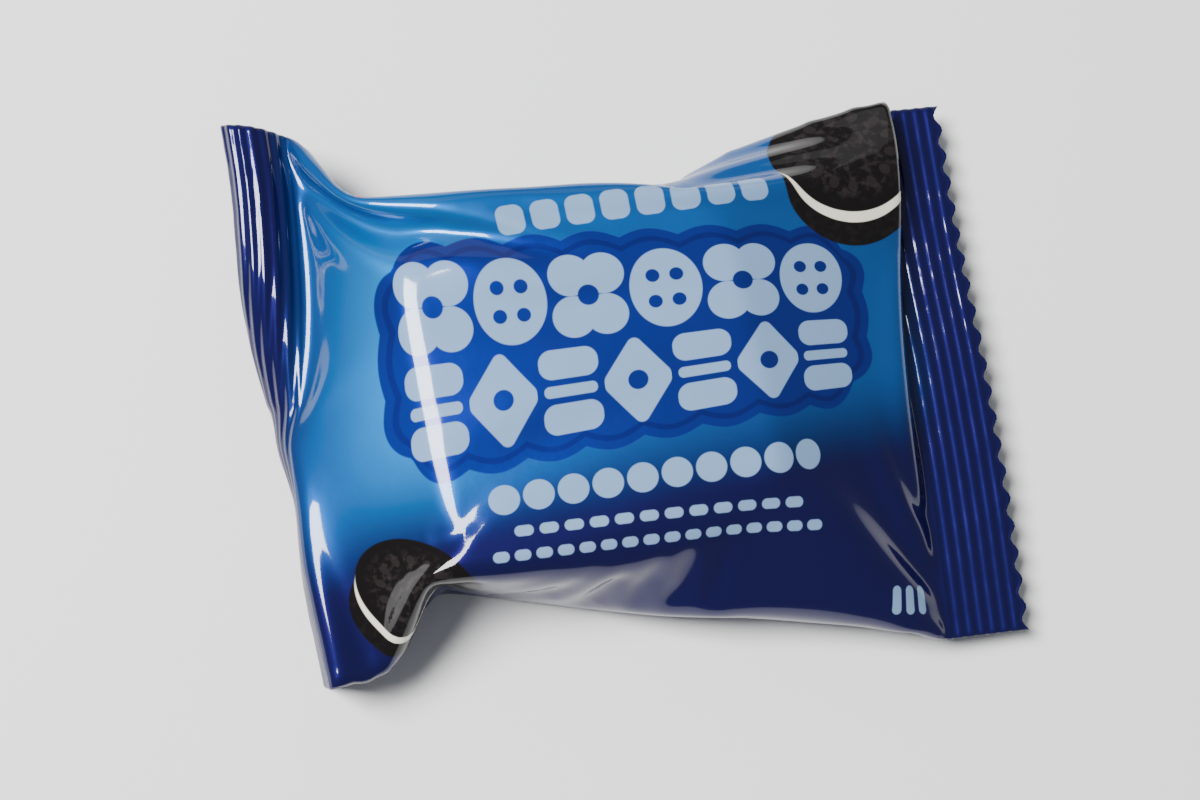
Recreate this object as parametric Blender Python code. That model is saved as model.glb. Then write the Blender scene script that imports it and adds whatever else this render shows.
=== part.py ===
"""Sealed flow-wrap snack pack of sandwich biscuits, lying on its back, as one closed solid.

A tube of printed film is crimped flat at both ends and is pushed out in the middle by the biscuits.
X runs along the pack, from the left end seal (-X) to the right one (+X), Y runs across it and +Z is
up. The pack rests on Z = 0 with its longitudinal fin seal underneath, and the origin is under the
middle of its bounding box. All the sizes below are in millimetres.
"""
import bmesh
import bpy
import numpy as np

MM = 0.001

# ---- driving sizes of the film tube --------------------------------------------------------------
HALF_WIDTH = 33.0         # half the width of the flat film
TEETH = 20                # rounded teeth along each cut edge
SEAL = 10.0               # width of a crimped end seal, from its root to its cut edge
ROOT_TO_ROOT = 79.0       # film between the two seals
TOOTH = 0.8               # depth of the cut edge's teeth
RIBS = 7                  # crimp ribs across a seal
RIB = 0.5                 # height of a rib, crest to valley
FILM = 0.45               # thickness of the two sheets where they are welded together
HEIGHT = 19.0             # height of the filled middle
FIN = 9.0                 # width of the fin seal folded flat against the back
FIN_PROUD = 0.35          # how far the fin stands off the back
FIN_STEP = 1.6            # width over which that step rises
FIN_CREASE = 0.3          # depth of the crease beside the fin where the back lies flat
CENTRE = (0.77, 1.70)     # bounding box centre of the layout below, which becomes the origin

# Roots of the end seals. t runs along the seal from the +Y side (0) to the -Y side (1).
#             t      x      y      z
LEFT_ROOT = [(0.00, -36.7, 35.5, 10.0),
             (0.14, -35.6, 26.6, 10.2),
             (0.25, -35.5, 19.2, 10.2),
             (0.50, -37.2, 2.8, 10.2),
             (0.59, -39.0, -3.2, 10.5),
             (0.75, -38.9, -13.8, 10.8),
             (1.00, -37.0, -31.5, 10.6)]
RIGHT_ROOT = [(0.00, 33.8, 33.2, 5.2),
              (0.25, 34.2, 16.0, 6.0),
              (0.50, 35.1, -0.8, 6.5),
              (0.75, 35.7, -17.2, 6.0),
              (1.00, 35.9, -33.5, 5.0)]

# How a seal leaves its root: slope there in degrees below level, the turn by its cut edge, how
# late that turn comes (1 is evenly), and the drift towards +Y for each millimetre outwards. The
# upper half of the left seal arches over, and its lower half is folded down.
#             t    slope turn late drift
LEFT_BEND = [(0.00, -42, 134, 2.2, 0.26),
             (0.25, -40, 134, 2.1, 0.20),
             (0.40, -22, 122, 1.3, 0.08),
             (0.50, 7, 100, 1.0, 0.02),
             (0.60, 58, 45, 1.0, 0.0),
             (0.70, 80, 8, 1.0, 0.0),
             (1.00, 80, 0, 1.0, 0.10)]
RIGHT_BEND = [(0.00, 4, 0, 1.0, 0.0),
              (0.50, 6, 0, 1.0, 0.0),
              (1.00, 5, 0, 1.0, 0.0)]

# The two side creases, by the length of film s from the left root.
#              s      x      y      z
UPPER_EDGE = [(0.0, -36.7, 35.5, 10.0),
              (2.5, -34.8, 34.2, 9.9),
              (9.5, -30.4, 26.6, 9.6),
              (22.0, -17.7, 24.4, 9.0),
              (33.0, -6.9, 23.9, 9.0),
              (45.0, 5.2, 23.8, 9.0),
              (47.5, 7.2, 23.9, 9.0),
              (50.5, 9.5, 25.6, 9.0),
              (56.5, 15.3, 28.7, 9.0),
              (66.5, 25.1, 31.8, 9.0),
              (73.5, 31.6, 33.2, 8.6),
              (76.5, 33.6, 33.9, 7.6),
              (79.0, 33.8, 33.2, 5.2)]
LOWER_EDGE = [(0.0, -37.0, -31.5, 10.6),
              (5.3, -31.6, -32.3, 8.5),
              (9.7, -28.3, -28.0, 8.5),
              (17.2, -23.9, -20.8, 9.0),
              (23.0, -18.2, -21.9, 9.0),
              (32.0, -9.8, -23.9, 9.0),
              (40.5, -1.9, -25.8, 9.0),
              (51.0, 8.5, -28.1, 9.0),
              (68.0, 25.0, -31.0, 8.0),
              (74.0, 30.9, -31.9, 6.8),
              (79.0, 35.9, -33.5, 5.0)]

# Height of the front and of the back along the pouch, where its section is flat.
#              s   front  back
HEIGHTS = [(0.0, 10.2, 10.0),
           (5.0, 12.2, 7.6),
           (10.5, 14.6, 4.6),
           (15.5, 16.6, 2.2),
           (20.5, 18.4, 0.2),
           (25.0, 18.8, 0.0),
           (32.0, HEIGHT, 0.0),
           (50.0, HEIGHT, 0.0),
           (56.5, 18.3, 0.2),
           (61.0, 16.9, 1.6),
           (66.5, 15.0, 4.0),
           (71.0, 13.2, 6.2),
           (76.5, 10.6, 7.2),
           (79.0, 6.2, 6.0)]

# How the section falls from its flat middle to each side crease: the share of the half width that
# is flat, and the power of the fall (1 is a straight slope, 4 is a wall).
#             s   upper side   lower side
FALLS = [(0.0, 0.6, 1.5, 0.6, 1.5),
         (8.0, 0.75, 2.5, 0.75, 2.5),
         (14.0, 0.85, 6.0, 0.85, 5.0),
         (22.0, 0.85, 7.0, 0.85, 4.0),
         (30.0, 0.85, 7.0, 0.75, 2.2),
         (38.0, 0.85, 7.0, 0.65, 1.7),
         (44.5, 0.8, 5.0, 0.6, 1.6),
         (50.5, 0.7, 2.0, 0.5, 1.7),
         (66.5, 0.55, 1.3, 0.4, 2.4),
         (79.0, 0.6, 1.5, 0.3, 2.0)]
BACK_FLAT = 0.78          # the same on the back, all along
BACK_FALL = 4.0

# The pouch hangs over the upper part of the right seal: how far past its root, and how high.
#              t    reach lift
OVERHANG = [(0.000, 2.4, 0.6),
            (0.045, 4.3, 0.8),
            (0.250, 3.4, 0.4),
            (0.420, 1.6, 0.2),
            (0.560, 0.4, 0.0),
            (1.000, 0.0, 0.0)]
FOLD_AT = 76.5            # length of film from the left root to the fold of that overhang

# Creases pressed into the front, and ridges raised on it (of negative depth), from one end to the
# other, where they fade out: x, y, x, y, depth, half width.
CREASES = [(7.2, 25.5, 11.5, 10.0, 2.6, 2.2),       # dent in the upper side
           (-31.0, 27.0, -21.0, 24.0, -3.0, 1.8),   # tuck at the upper left corner
           (-23.0, -19.5, -27.0, -22.5, -2.2, 1.8), # tuck at the lower left corner
           (-23.6, -21.0, -28.5, -8.0, 1.2, 2.0),
           (-38.0, -3.0, -27.5, 3.5, 1.4, 2.0),     # pinch in the middle of the left seal
           (33.0, -30.5, 15.0, -15.5, 1.2, 2.2),    # drag lines from the lower right corner
           (34.0, -24.0, 24.5, -3.0, 1.0, 2.4)]

CREASE_HEAD = 3.0         # length over which a crease deepens before its first end

COLUMNS = 2 * TEETH       # quads across each sheet: two to a tooth
SEAL_ROWS = 2 * RIBS      # quads along each seal: two to a rib
BODY_ROWS = [2.0, 4.5, 7.0, 10.0, 13.0, 15.5, 18.0, 21.5, 26.0, 31.0, 36.0, 41.0, 44.5, 47.5, 50.5,
             54.0, 57.5, 61.0, 64.5, 67.5, 70.5, 73.5, FOLD_AT]
FINE_POINTS = 801         # points at which a section is worked out, before its quads are laid on it


def table(rows, at):
    """Smooth curve through the rows of a table (place, values...), read at the places `at`.

    It never swings past its rows, because a row that is a peak or a dip gets a level tangent.
    """
    rows = np.array(rows, float)
    keys, values = rows[:, 0], rows[:, 1:]
    rise = np.diff(values, axis=0) / np.diff(keys)[:, None]
    before, after = rise[:-1], rise[1:]
    same_way = before * after > 0
    total = np.where(same_way, before + after, 1.0)
    inner = np.where(same_way, 2 * before * after / total, 0.0)
    slopes = np.concatenate([rise[:1], inner, rise[-1:]])
    at = np.atleast_1d(np.asarray(at, float))
    k = np.clip(np.searchsorted(keys, at, side="right") - 1, 0, len(keys) - 2)
    gap = (keys[k + 1] - keys[k])[:, None]
    h = (at[:, None] - keys[k][:, None]) / gap
    return ((2 * h ** 3 - 3 * h ** 2 + 1) * values[k] + (h ** 3 - 2 * h ** 2 + h) * gap * slopes[k]
            + (3 * h ** 2 - 2 * h ** 3) * values[k + 1] + (h ** 3 - h ** 2) * gap * slopes[k + 1])


def seal_surface(root_rows, bend_rows, side):
    """Middle surface of an end seal, one row of points for each step from its root outwards."""
    t = np.linspace(0.0, 1.0, COLUMNS + 1)
    point = table(root_rows, t)
    along = np.gradient(point[:, :2], t, axis=0)
    outward = side * np.stack([-along[:, 1], along[:, 0]], axis=1)
    outward /= np.linalg.norm(outward, axis=1, keepdims=True)
    slope, turn, late, drift = table(bend_rows, t).T
    slope, turn = np.radians(slope), np.radians(turn)
    step = SEAL / SEAL_ROWS
    tooth = TOOTH * (np.arange(COLUMNS + 1) % 2 - 0.5)
    surface = [point]
    for row in range(SEAL_ROWS):
        length = step + (tooth if row == SEAL_ROWS - 1 else 0.0)
        angle = slope + turn * ((row + 0.5) / SEAL_ROWS) ** late
        move = np.column_stack([outward * np.cos(angle)[:, None], -np.sin(angle)])
        move[:, 1] += drift
        point = point + move * np.broadcast_to(length, COLUMNS + 1)[:, None]
        surface.append(point)
    return np.array(surface)


def surface_normals(surface):
    """Unit normals of a grid of points, on the front side of the film."""
    normal = np.cross(np.gradient(surface, axis=1), np.gradient(surface, axis=0))
    return normal / np.linalg.norm(normal, axis=2, keepdims=True)


def fin_window(across):
    """1 on the fin seal and 0 beside it, by the distance across the film from its middle."""
    return np.clip((FIN / 2 - np.abs(across)) / FIN_STEP + 0.5, 0.0, 1.0)


def end_seal(root_rows, bend_rows, side):
    """Front and back sheets of a crimped end seal, from the root outwards."""
    surface = seal_surface(root_rows, bend_rows, side)
    normal = surface_normals(surface) * side
    mitre = normal[0] + (0.0, 0.0, 1.0)
    normal[0] = mitre / np.linalg.norm(mitre, axis=1, keepdims=True)
    crimp = RIB / 2 * (-1.0) ** np.arange(SEAL_ROWS + 1)
    crimp[0] = 0.0
    surface = surface + normal * crimp[:, None, None]
    thick = np.full(COLUMNS + 1, FILM / 2)
    thick[[0, -1]] = 0.0
    across = np.linspace(HALF_WIDTH, -HALF_WIDTH, COLUMNS + 1)
    back = thick + FIN_PROUD * fin_window(across)
    return surface + normal * thick[:, None], surface - normal * back[:, None]


def crease_depth(x, y):
    """Depth of the pressed creases at a place on the front."""
    depth = np.zeros_like(x)
    for x0, y0, x1, y1, deep, half in CREASES:
        run = np.hypot(x1 - x0, y1 - y0)
        along = ((x - x0) * (x1 - x0) + (y - y0) * (y1 - y0)) / run
        off = ((x - x0) * (y1 - y0) - (y - y0) * (x1 - x0)) / run
        fade = np.clip(1.0 - along / run, 0.0, 1.0) * np.clip(1.0 + along / CREASE_HEAD, 0.0, 1.0)
        depth += deep * fade * np.exp(-(off / half) ** 2)
    return depth


def fall(off, flat, power):
    """1 in the flat middle of a section, falling to 0 at its side crease, where off is 1."""
    return 1.0 - np.clip((off - flat) / (1.0 - flat), 0.0, 1.0) ** power


def body_section(s):
    """Front and back sheets across the pouch, at the length of film s from the left root."""
    fine = np.linspace(0.0, 1.0, FINE_POINTS)
    u = s / ROOT_TO_ROOT
    upper, lower = table(UPPER_EDGE, s)[0], table(LOWER_EDGE, s)[0]
    middle = upper + (lower - upper) * fine[:, None]
    for root_rows, weight in ((LEFT_ROOT, (1 - u) ** 2), (RIGHT_ROOT, u ** 2)):
        root = table(root_rows, fine)
        middle += weight * (root - (root[0] + (root[-1] - root[0]) * fine[:, None]))
    top, bottom = table(HEIGHTS, s)[0]
    upper_flat, upper_fall, lower_flat, lower_fall = table(FALLS, s)[0]
    off = 1.0 - 2 * fine
    bulge = np.where(off > 0, fall(off, upper_flat, upper_fall), fall(-off, lower_flat, lower_fall))
    front, back = middle.copy(), middle.copy()
    front[:, 2] += (top - middle[:, 2]) * bulge
    front[:, 2] -= crease_depth(front[:, 0], front[:, 1]) * np.clip(3 * bulge, 0.0, 1.0)
    front[:, 2] = np.minimum(front[:, 2], HEIGHT)
    drop = np.minimum(bottom - middle[:, 2], 0.0)
    back[:, 2] += drop * fall(np.abs(off), BACK_FLAT, BACK_FALL)
    if s == FOLD_AT:
        reach, lift = table(OVERHANG, fine).T
        front[:, 0] += reach
        front[:, 2] += lift
    return even(front), finned(even(back))


def even(line):
    """The line again, as COLUMNS + 1 points at equal lengths of film."""
    length = np.concatenate([[0.0], np.cumsum(np.linalg.norm(np.diff(line, axis=0), axis=1))])
    at = np.linspace(0.0, length[-1], COLUMNS + 1)
    return np.column_stack([np.interp(at, length, line[:, axis]) for axis in range(3)])


def finned(back):
    """The back sheet with the fin seal: proud where the back is clear of Z = 0, else creased in."""
    across = np.linspace(HALF_WIDTH, -HALF_WIDTH, COLUMNS + 1)
    back[:, 2] = np.maximum(back[:, 2] - FIN_PROUD * fin_window(across), 0.0)
    column = 2 * HALF_WIDTH / COLUMNS
    beside = np.abs(np.abs(across) - FIN / 2 - column / 4) < column / 3
    back[beside, 2] += FIN_CREASE
    return back


def pack_rows():
    """Front and back rows of points, from the left cut edge to the right one."""
    left_front, left_back = end_seal(LEFT_ROOT, LEFT_BEND, -1)
    right_front, right_back = end_seal(RIGHT_ROOT, RIGHT_BEND, 1)
    body = [body_section(s) for s in BODY_ROWS]
    front = [*left_front[::-1], *(pair[0] for pair in body), *right_front]
    back = [*left_back[::-1], *(pair[1] for pair in body), *right_back]
    return np.array(front), np.array(back)


def pack_mesh(name):
    """Closed mesh of the pack: rings of points around the tube, closed by the two cut edges."""
    front, back = pack_rows()
    middle = np.array([CENTRE[0], CENTRE[1], 0.0])
    mesh_data = bmesh.new()
    rings = []
    for upper, under in zip(front, back):
        points = np.concatenate([upper, under[-2:0:-1]]) - middle
        rings.append([mesh_data.verts.new(point * MM) for point in points])
    around = 2 * COLUMNS
    for ring, following in zip(rings, rings[1:]):
        for k in range(around):
            after = (k + 1) % around
            mesh_data.faces.new((ring[k], ring[after], following[after], following[k]))
    for ring, facing in ((rings[0], -1), (rings[-1], 1)):
        for k in range(COLUMNS):
            corners = [ring[k], ring[k + 1], ring[around - k - 1], ring[(around - k) % around]]
            corners = list(dict.fromkeys(corners))
            mesh_data.faces.new(corners[::facing])
    bmesh.ops.triangulate(mesh_data, faces=mesh_data.faces)
    mesh = bpy.data.meshes.new(name)
    mesh_data.to_mesh(mesh)
    mesh_data.free()
    mesh.shade_smooth()
    mesh.set_sharp_from_angle(angle=np.radians(35.0))
    return mesh


def film_material():
    """Printed metallised film, mainly blue."""
    material = bpy.data.materials.new("printed_film")
    material.use_nodes = True
    shader = material.node_tree.nodes["Principled BSDF"]
    shader.inputs["Base Color"].default_value = (0.012, 0.12, 0.45, 1.0)
    shader.inputs["Metallic"].default_value = 0.2
    shader.inputs["Roughness"].default_value = 0.22
    return material


def clear_scene():
    """Remove what the scene already holds."""
    for old in list(bpy.data.objects):
        bpy.data.objects.remove(old, do_unlink=True)


def main():
    clear_scene()
    pack = bpy.data.objects.new("film_pack", pack_mesh("film_pack"))
    pack.data.materials.append(film_material())
    bpy.context.collection.objects.link(pack)


main()
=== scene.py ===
"""Sealed flow-wrap pack of chocolate sandwich biscuits: relaxed film, crimped seals, printed foil."""
import math

import bpy
import numpy as np
from bpy.props import (BoolProperty, FloatProperty, FloatVectorProperty, IntProperty,
                       PointerProperty)
from mathutils import Matrix, Vector


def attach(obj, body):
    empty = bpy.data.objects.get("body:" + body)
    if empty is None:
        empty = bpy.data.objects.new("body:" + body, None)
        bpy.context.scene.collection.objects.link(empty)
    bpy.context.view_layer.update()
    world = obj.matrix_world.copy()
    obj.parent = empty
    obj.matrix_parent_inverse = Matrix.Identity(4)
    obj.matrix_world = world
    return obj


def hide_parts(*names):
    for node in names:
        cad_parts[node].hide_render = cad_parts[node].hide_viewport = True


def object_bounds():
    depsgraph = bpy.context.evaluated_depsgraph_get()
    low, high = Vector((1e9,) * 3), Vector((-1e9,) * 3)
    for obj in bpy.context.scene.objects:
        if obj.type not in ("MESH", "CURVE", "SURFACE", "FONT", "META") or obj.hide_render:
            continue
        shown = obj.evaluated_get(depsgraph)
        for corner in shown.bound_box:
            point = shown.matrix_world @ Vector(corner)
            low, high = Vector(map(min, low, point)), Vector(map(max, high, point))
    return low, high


bl_info = {
    "name": "Flow-wrap biscuit pack",
    "version": (1, 0, 0),
    "blender": (4, 5, 0),
    "location": "3D View > Sidebar > Pack",
    "description": "Builds a sealed film pack with crimped ends and its studio stage",
    "category": "Object",
}

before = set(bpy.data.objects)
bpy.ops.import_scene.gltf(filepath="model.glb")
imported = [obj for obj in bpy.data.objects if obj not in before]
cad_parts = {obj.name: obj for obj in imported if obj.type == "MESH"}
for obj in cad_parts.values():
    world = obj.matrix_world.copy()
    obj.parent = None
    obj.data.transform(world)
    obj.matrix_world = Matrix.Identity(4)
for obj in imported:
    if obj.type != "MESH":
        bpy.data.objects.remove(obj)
CAD_LOW, CAD_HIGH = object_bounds()
CAD_MIDDLE = (CAD_LOW + CAD_HIGH) / 2
MM = 0.001

# ---- layout of the pack, in millimetres ----------------------------------------------------------
# Roots of the end seals. t runs along the seal from the +Y side (0) to the -Y side (1).
#             t      x      y      z
LEFT_ROOT = [(0.00, -36.7, 35.5, 10.0),
             (0.14, -36.2, 26.6, 10.2),
             (0.25, -36.3, 19.2, 10.2),
             (0.50, -37.4, 2.8, 10.2),
             (0.59, -39.0, -3.2, 10.5),
             (0.75, -38.9, -13.8, 10.8),
             (1.00, -37.0, -31.5, 10.6)]
RIGHT_ROOT = [(0.00, 33.8, 33.2, 5.2),
              (0.25, 34.2, 16.0, 6.0),
              (0.50, 35.1, -0.8, 6.5),
              (0.75, 35.7, -17.2, 6.0),
              (1.00, 35.9, -33.5, 5.0)]

# How a seal leaves its root: slope in degrees below level, the turn by its cut edge, how late it
# turns (1 is evenly), and how far it drifts towards +Y for each millimetre outwards.
#             t    slope turn late drift
LEFT_BEND = [(0.00, -42, 138, 2.1, 0.26),
             (0.25, -44, 148, 1.9, 0.20),
             (0.40, -26, 142, 1.3, 0.08),
             (0.50, 8, 104, 1.0, 0.02),
             (0.60, 58, 45, 1.0, 0.0),
             (0.70, 80, 8, 1.0, 0.0),
             (1.00, 80, 0, 1.0, 0.10)]
RIGHT_BEND = [(0.00, 4, 0, 1.0, 0.0),
              (0.50, 6, 0, 1.0, 0.0),
              (1.00, 5, 0, 1.0, 0.0)]

# The outline that the pouch keeps to on its two long sides: x, y.
UPPER_SIDE = [(-36.1, 36.2), (-33.5, 32.4), (-30.4, 26.6), (-28.0, 25.0), (-17.7, 24.4),
              (-6.9, 23.9), (4.0, 23.8), (6.8, 23.8), (9.5, 25.8), (15.3, 28.9), (20.2, 30.7),
              (25.1, 31.8), (31.0, 33.1), (36.5, 34.4), (40.0, 34.8)]
LOWER_SIDE = [(-40.0, -33.4), (-36.6, -33.1), (-32.3, -33.0), (-30.2, -31.7), (-28.0, -27.9),
              (-23.9, -20.8), (-22.0, -21.0), (-18.2, -21.9), (-9.8, -23.9), (-1.9, -25.8),
              (8.5, -28.1), (25.0, -31.0), (30.9, -31.9), (35.0, -33.4), (40.0, -34.4)]

# Lines on which the film was pinched. Along a side crease a row starts with the length of film from
# the left root; round the pack it starts with the distance across the film from its middle. Then
# come x, y, z and how firmly the film is held there.
UPPER_CREASE = [(2.5, -34.8, 34.4, 9.9, 0.4),
                (9.5, -30.4, 26.2, 9.5, 0.3),
                (22.0, -17.7, 24.6, 9.0, 0.1),
                (33.0, -6.9, 24.1, 9.0, 0.1),
                (45.0, 5.2, 24.0, 9.0, 0.2),
                (47.5, 7.2, 23.4, 9.0, 0.4),
                (50.5, 9.5, 25.5, 9.0, 0.2),
                (56.5, 15.3, 28.9, 9.0, 0.15),
                (66.5, 25.1, 31.9, 9.0, 0.15),
                (72.0, 32.5, 33.7, 9.0, 0.3)]
LOWER_CREASE = [(2.0, -35.2, -32.2, 10.1, 0.25),
                (3.5, -33.9, -32.5, 9.6, 0.25),
                (5.0, -32.5, -32.5, 9.1, 0.25),
                (6.5, -31.2, -31.9, 8.6, 0.25),
                (10.3, -28.3, -28.0, 8.5, 0.4),
                (17.2, -23.9, -20.8, 9.0, 0.5),
                (23.0, -18.2, -21.8, 9.0, 0.1),
                (32.0, -9.8, -23.8, 9.0, 0.1),
                (51.0, 8.5, -27.7, 9.0, 0.1),
                (74.0, 30.9, -31.6, 7.0, 0.3)]
SIDE_DENT = [(28.0, 7.6, 22.4, 13.6, 0.4),      # round the pack, below the upper side's notch
             (23.5, 8.6, 18.6, 16.6, 0.3)]
SIDE_DENT_AT = 48.0
OVERHANG = [(33.0, 38.4, 34.2, 8.6, 0.35),      # round the pack, where it hangs over the right seal
            (29.0, 38.2, 30.2, 10.2, 0.35),
            (25.0, 37.9, 26.0, 10.8, 0.35),
            (21.0, 37.4, 21.6, 10.6, 0.35),
            (17.0, 36.8, 17.2, 9.6, 0.3),
            (13.0, 36.0, 13.0, 8.2, 0.15)]
OVERHANG_AT = 74.0

# The stack of biscuits: half length, half width, squareness, edge radius left and right, middle
# and turn in degrees.
FILLING = {"half_x": 24.2, "half_y": 22.0, "square": 6.0, "edge_left": 6.0, "edge_right": 7.0,
           "x": -3.1, "y": 1.2, "turn": 5.5}


# ---- user settings -------------------------------------------------------------------------------
def length(name, text, default):
    """A length property, stored in metres."""
    return FloatProperty(name=name, description=text, default=default, min=0.0, unit="LENGTH",
                         precision=5)


def colour(name, text, default):
    """A colour property in linear RGB."""
    return FloatVectorProperty(name=name, description=text, default=default, size=3,
                               subtype="COLOR", min=0.0, max=1.0)


def srgb(red, green, blue):
    """Linear RGB of a display colour given as 0 to 255."""
    values = (value / 255 for value in (red, green, blue))
    return tuple(v / 12.92 if v <= 0.04045 else ((v + 0.055) / 1.055) ** 2.4 for v in values)


class PackSizes(bpy.types.PropertyGroup):
    """Sizes of the film and of its seals."""
    flat_width: length("Flat width", "Width of the flat tube of film", 0.066)
    flat_length: length("Flat length", "Cut edge to cut edge of the flat tube", 0.0994)
    seal: length("Seal width", "Root to cut edge of an end seal", 0.010)
    fill: length("Filling height", "Height of the stack of biscuits", 0.0185)
    gauge: length("Film gauge", "Thickness shown for the film", 0.00016)
    tooth: length("Tooth depth", "Depth of the teeth of the cut edges", 0.0008)
    teeth: IntProperty(name="Teeth", description="Teeth along a cut edge", default=20, min=4)
    rib: length("Rib height", "Crest to valley of the crimp", 0.0002)
    ribs: IntProperty(name="Ribs", description="Crimp ribs across an end seal", default=7, min=2)
    fin: length("Fin width", "Width of the fin seal folded against the back", 0.009)
    fine: length("Film pitch", "Spacing of the finer relaxed grid", 0.001)


class PrintColours(bpy.types.PropertyGroup):
    """Inks of the print."""
    navy: colour("Navy", "Ground at the ends and the lower side", srgb(17, 15, 70))
    azure: colour("Azure", "Ground in the middle", srgb(14, 76, 140))
    # cyan: the left panel's ink, lightened by a painted highlight where the panel reflects the window
    # light
    cyan: colour("Cyan", "Glow on the left panel", srgb(3, 116, 186))
    plaque: colour("Plaque", "Scalloped plaque", srgb(14, 34, 112))
    outline: colour("Outline", "Line inside the plaque", srgb(11, 21, 92))
    pale: colour("Pale", "Pale motifs", srgb(122, 152, 188))
    wafer: colour("Wafer", "Pictured biscuit", srgb(15, 12, 12))
    cream: colour("Cream", "Filling of the pictured biscuit", srgb(238, 232, 214))
    red: colour("Red", "Patch on the side", srgb(168, 30, 24))


class StageSettings(bpy.types.PropertyGroup):
    """Floor and light."""
    floor: colour("Floor", "Colour of the floor", (0.93, 0.93, 0.92))
    key: FloatProperty(name="Key light", description="Power of the window light", default=1.5,
                       min=0.0, unit="POWER")
    show_floor: BoolProperty(name="Floor", description="Make the floor", default=True)


# ---- nodes as Python expressions -----------------------------------------------------------------
class Value:
    """A number socket of a node tree, on which Python arithmetic adds Math nodes."""

    def __init__(self, tree, socket):
        self.tree = tree
        self.socket = socket

    def maths(self, operation, *others):
        return self.tree.maths(operation, self, *others)

    def __add__(self, other):
        return self.maths("ADD", other)

    def __radd__(self, other):
        return self.tree.maths("ADD", other, self)

    def __sub__(self, other):
        return self.maths("SUBTRACT", other)

    def __rsub__(self, other):
        return self.tree.maths("SUBTRACT", other, self)

    def __mul__(self, other):
        return self.maths("MULTIPLY", other)

    def __rmul__(self, other):
        return self.tree.maths("MULTIPLY", other, self)

    def __truediv__(self, other):
        return self.maths("DIVIDE", other)

    def __rtruediv__(self, other):
        return self.tree.maths("DIVIDE", other, self)

    def __neg__(self):
        return self.maths("MULTIPLY", -1.0)

    def __abs__(self):
        return self.maths("ABSOLUTE")

    def __pow__(self, other):
        return self.maths("POWER", other)


class Tree:
    """A node tree, shader or geometry, built by calls."""

    def __init__(self, nodes):
        self.nodes = nodes

    def node(self, kind, settings=None, inputs=None):
        """Add a node: its settings first, then the values or links of its inputs."""
        new = self.nodes.nodes.new(kind)
        for name, value in (settings or {}).items():
            setattr(new, name, value)
        for key, value in (inputs or {}).items():
            socket = new.inputs[key]
            if isinstance(value, Value):
                value = value.socket
            if isinstance(value, bpy.types.NodeSocket):
                self.nodes.links.new(value, socket)
            else:
                socket.default_value = value
        return new

    def maths(self, operation, *values):
        node = self.node("ShaderNodeMath", {"operation": operation}, dict(enumerate(values)))
        return Value(self, node.outputs[0])

    def clamp(self, value):
        """The value held between 0 and 1."""
        node = self.node("ShaderNodeClamp", None, {0: value})
        return Value(self, node.outputs[0])

    def smooth(self, value, low, high):
        """0 below low and 1 above high, with a smooth step between; low may be the larger."""
        step = self.clamp((value - low) / (high - low))
        return step * step * (3.0 - 2.0 * step)

    def least(self, a, b):
        return self.maths("MINIMUM", a, b)

    def most(self, a, b):
        return self.maths("MAXIMUM", a, b)

    def hypot(self, x, y):
        return self.maths("SQRT", x * x + y * y)

    def mix(self, mask, a, b):
        """Colour a where the mask is 0 and b where it is 1."""
        node = self.node("ShaderNodeMix", {"data_type": "RGBA"}, {0: mask, 6: a, 7: b})
        return node.outputs[2]


def opaque(rgb):
    """A colour property as the four numbers of a colour socket."""
    return (rgb[0], rgb[1], rgb[2], 1.0)


# ---- the film as a relaxed sheet -----------------------------------------------------------------
def table(rows, at):
    """Smooth curve through the rows of a table (place, values...), read at the places `at`.

    It never swings past its rows, because a row that is a peak or a dip gets a level tangent.
    """
    rows = np.array(rows, float)
    keys, values = rows[:, 0], rows[:, 1:]
    rise = np.diff(values, axis=0) / np.diff(keys)[:, None]
    before, after = rise[:-1], rise[1:]
    same_way = before * after > 0
    total = np.where(same_way, before + after, 1.0)
    inner = np.where(same_way, 2 * before * after / total, 0.0)
    slopes = np.concatenate([rise[:1], inner, rise[-1:]])
    at = np.asarray(at, float)
    k = np.clip(np.searchsorted(keys, at, side="right") - 1, 0, len(keys) - 2)
    gap = (keys[k + 1] - keys[k])[..., None]
    h = (at[..., None] - keys[k][..., None]) / gap
    return ((2 * h ** 3 - 3 * h ** 2 + 1) * values[k] + (h ** 3 - 2 * h ** 2 + h) * gap * slopes[k]
            + (3 * h ** 2 - 2 * h ** 3) * values[k + 1] + (h ** 3 - h ** 2) * gap * slopes[k + 1])


def smoothstep(value):
    value = np.clip(value, 0.0, 1.0)
    return value * value * (3 - 2 * value)


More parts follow.
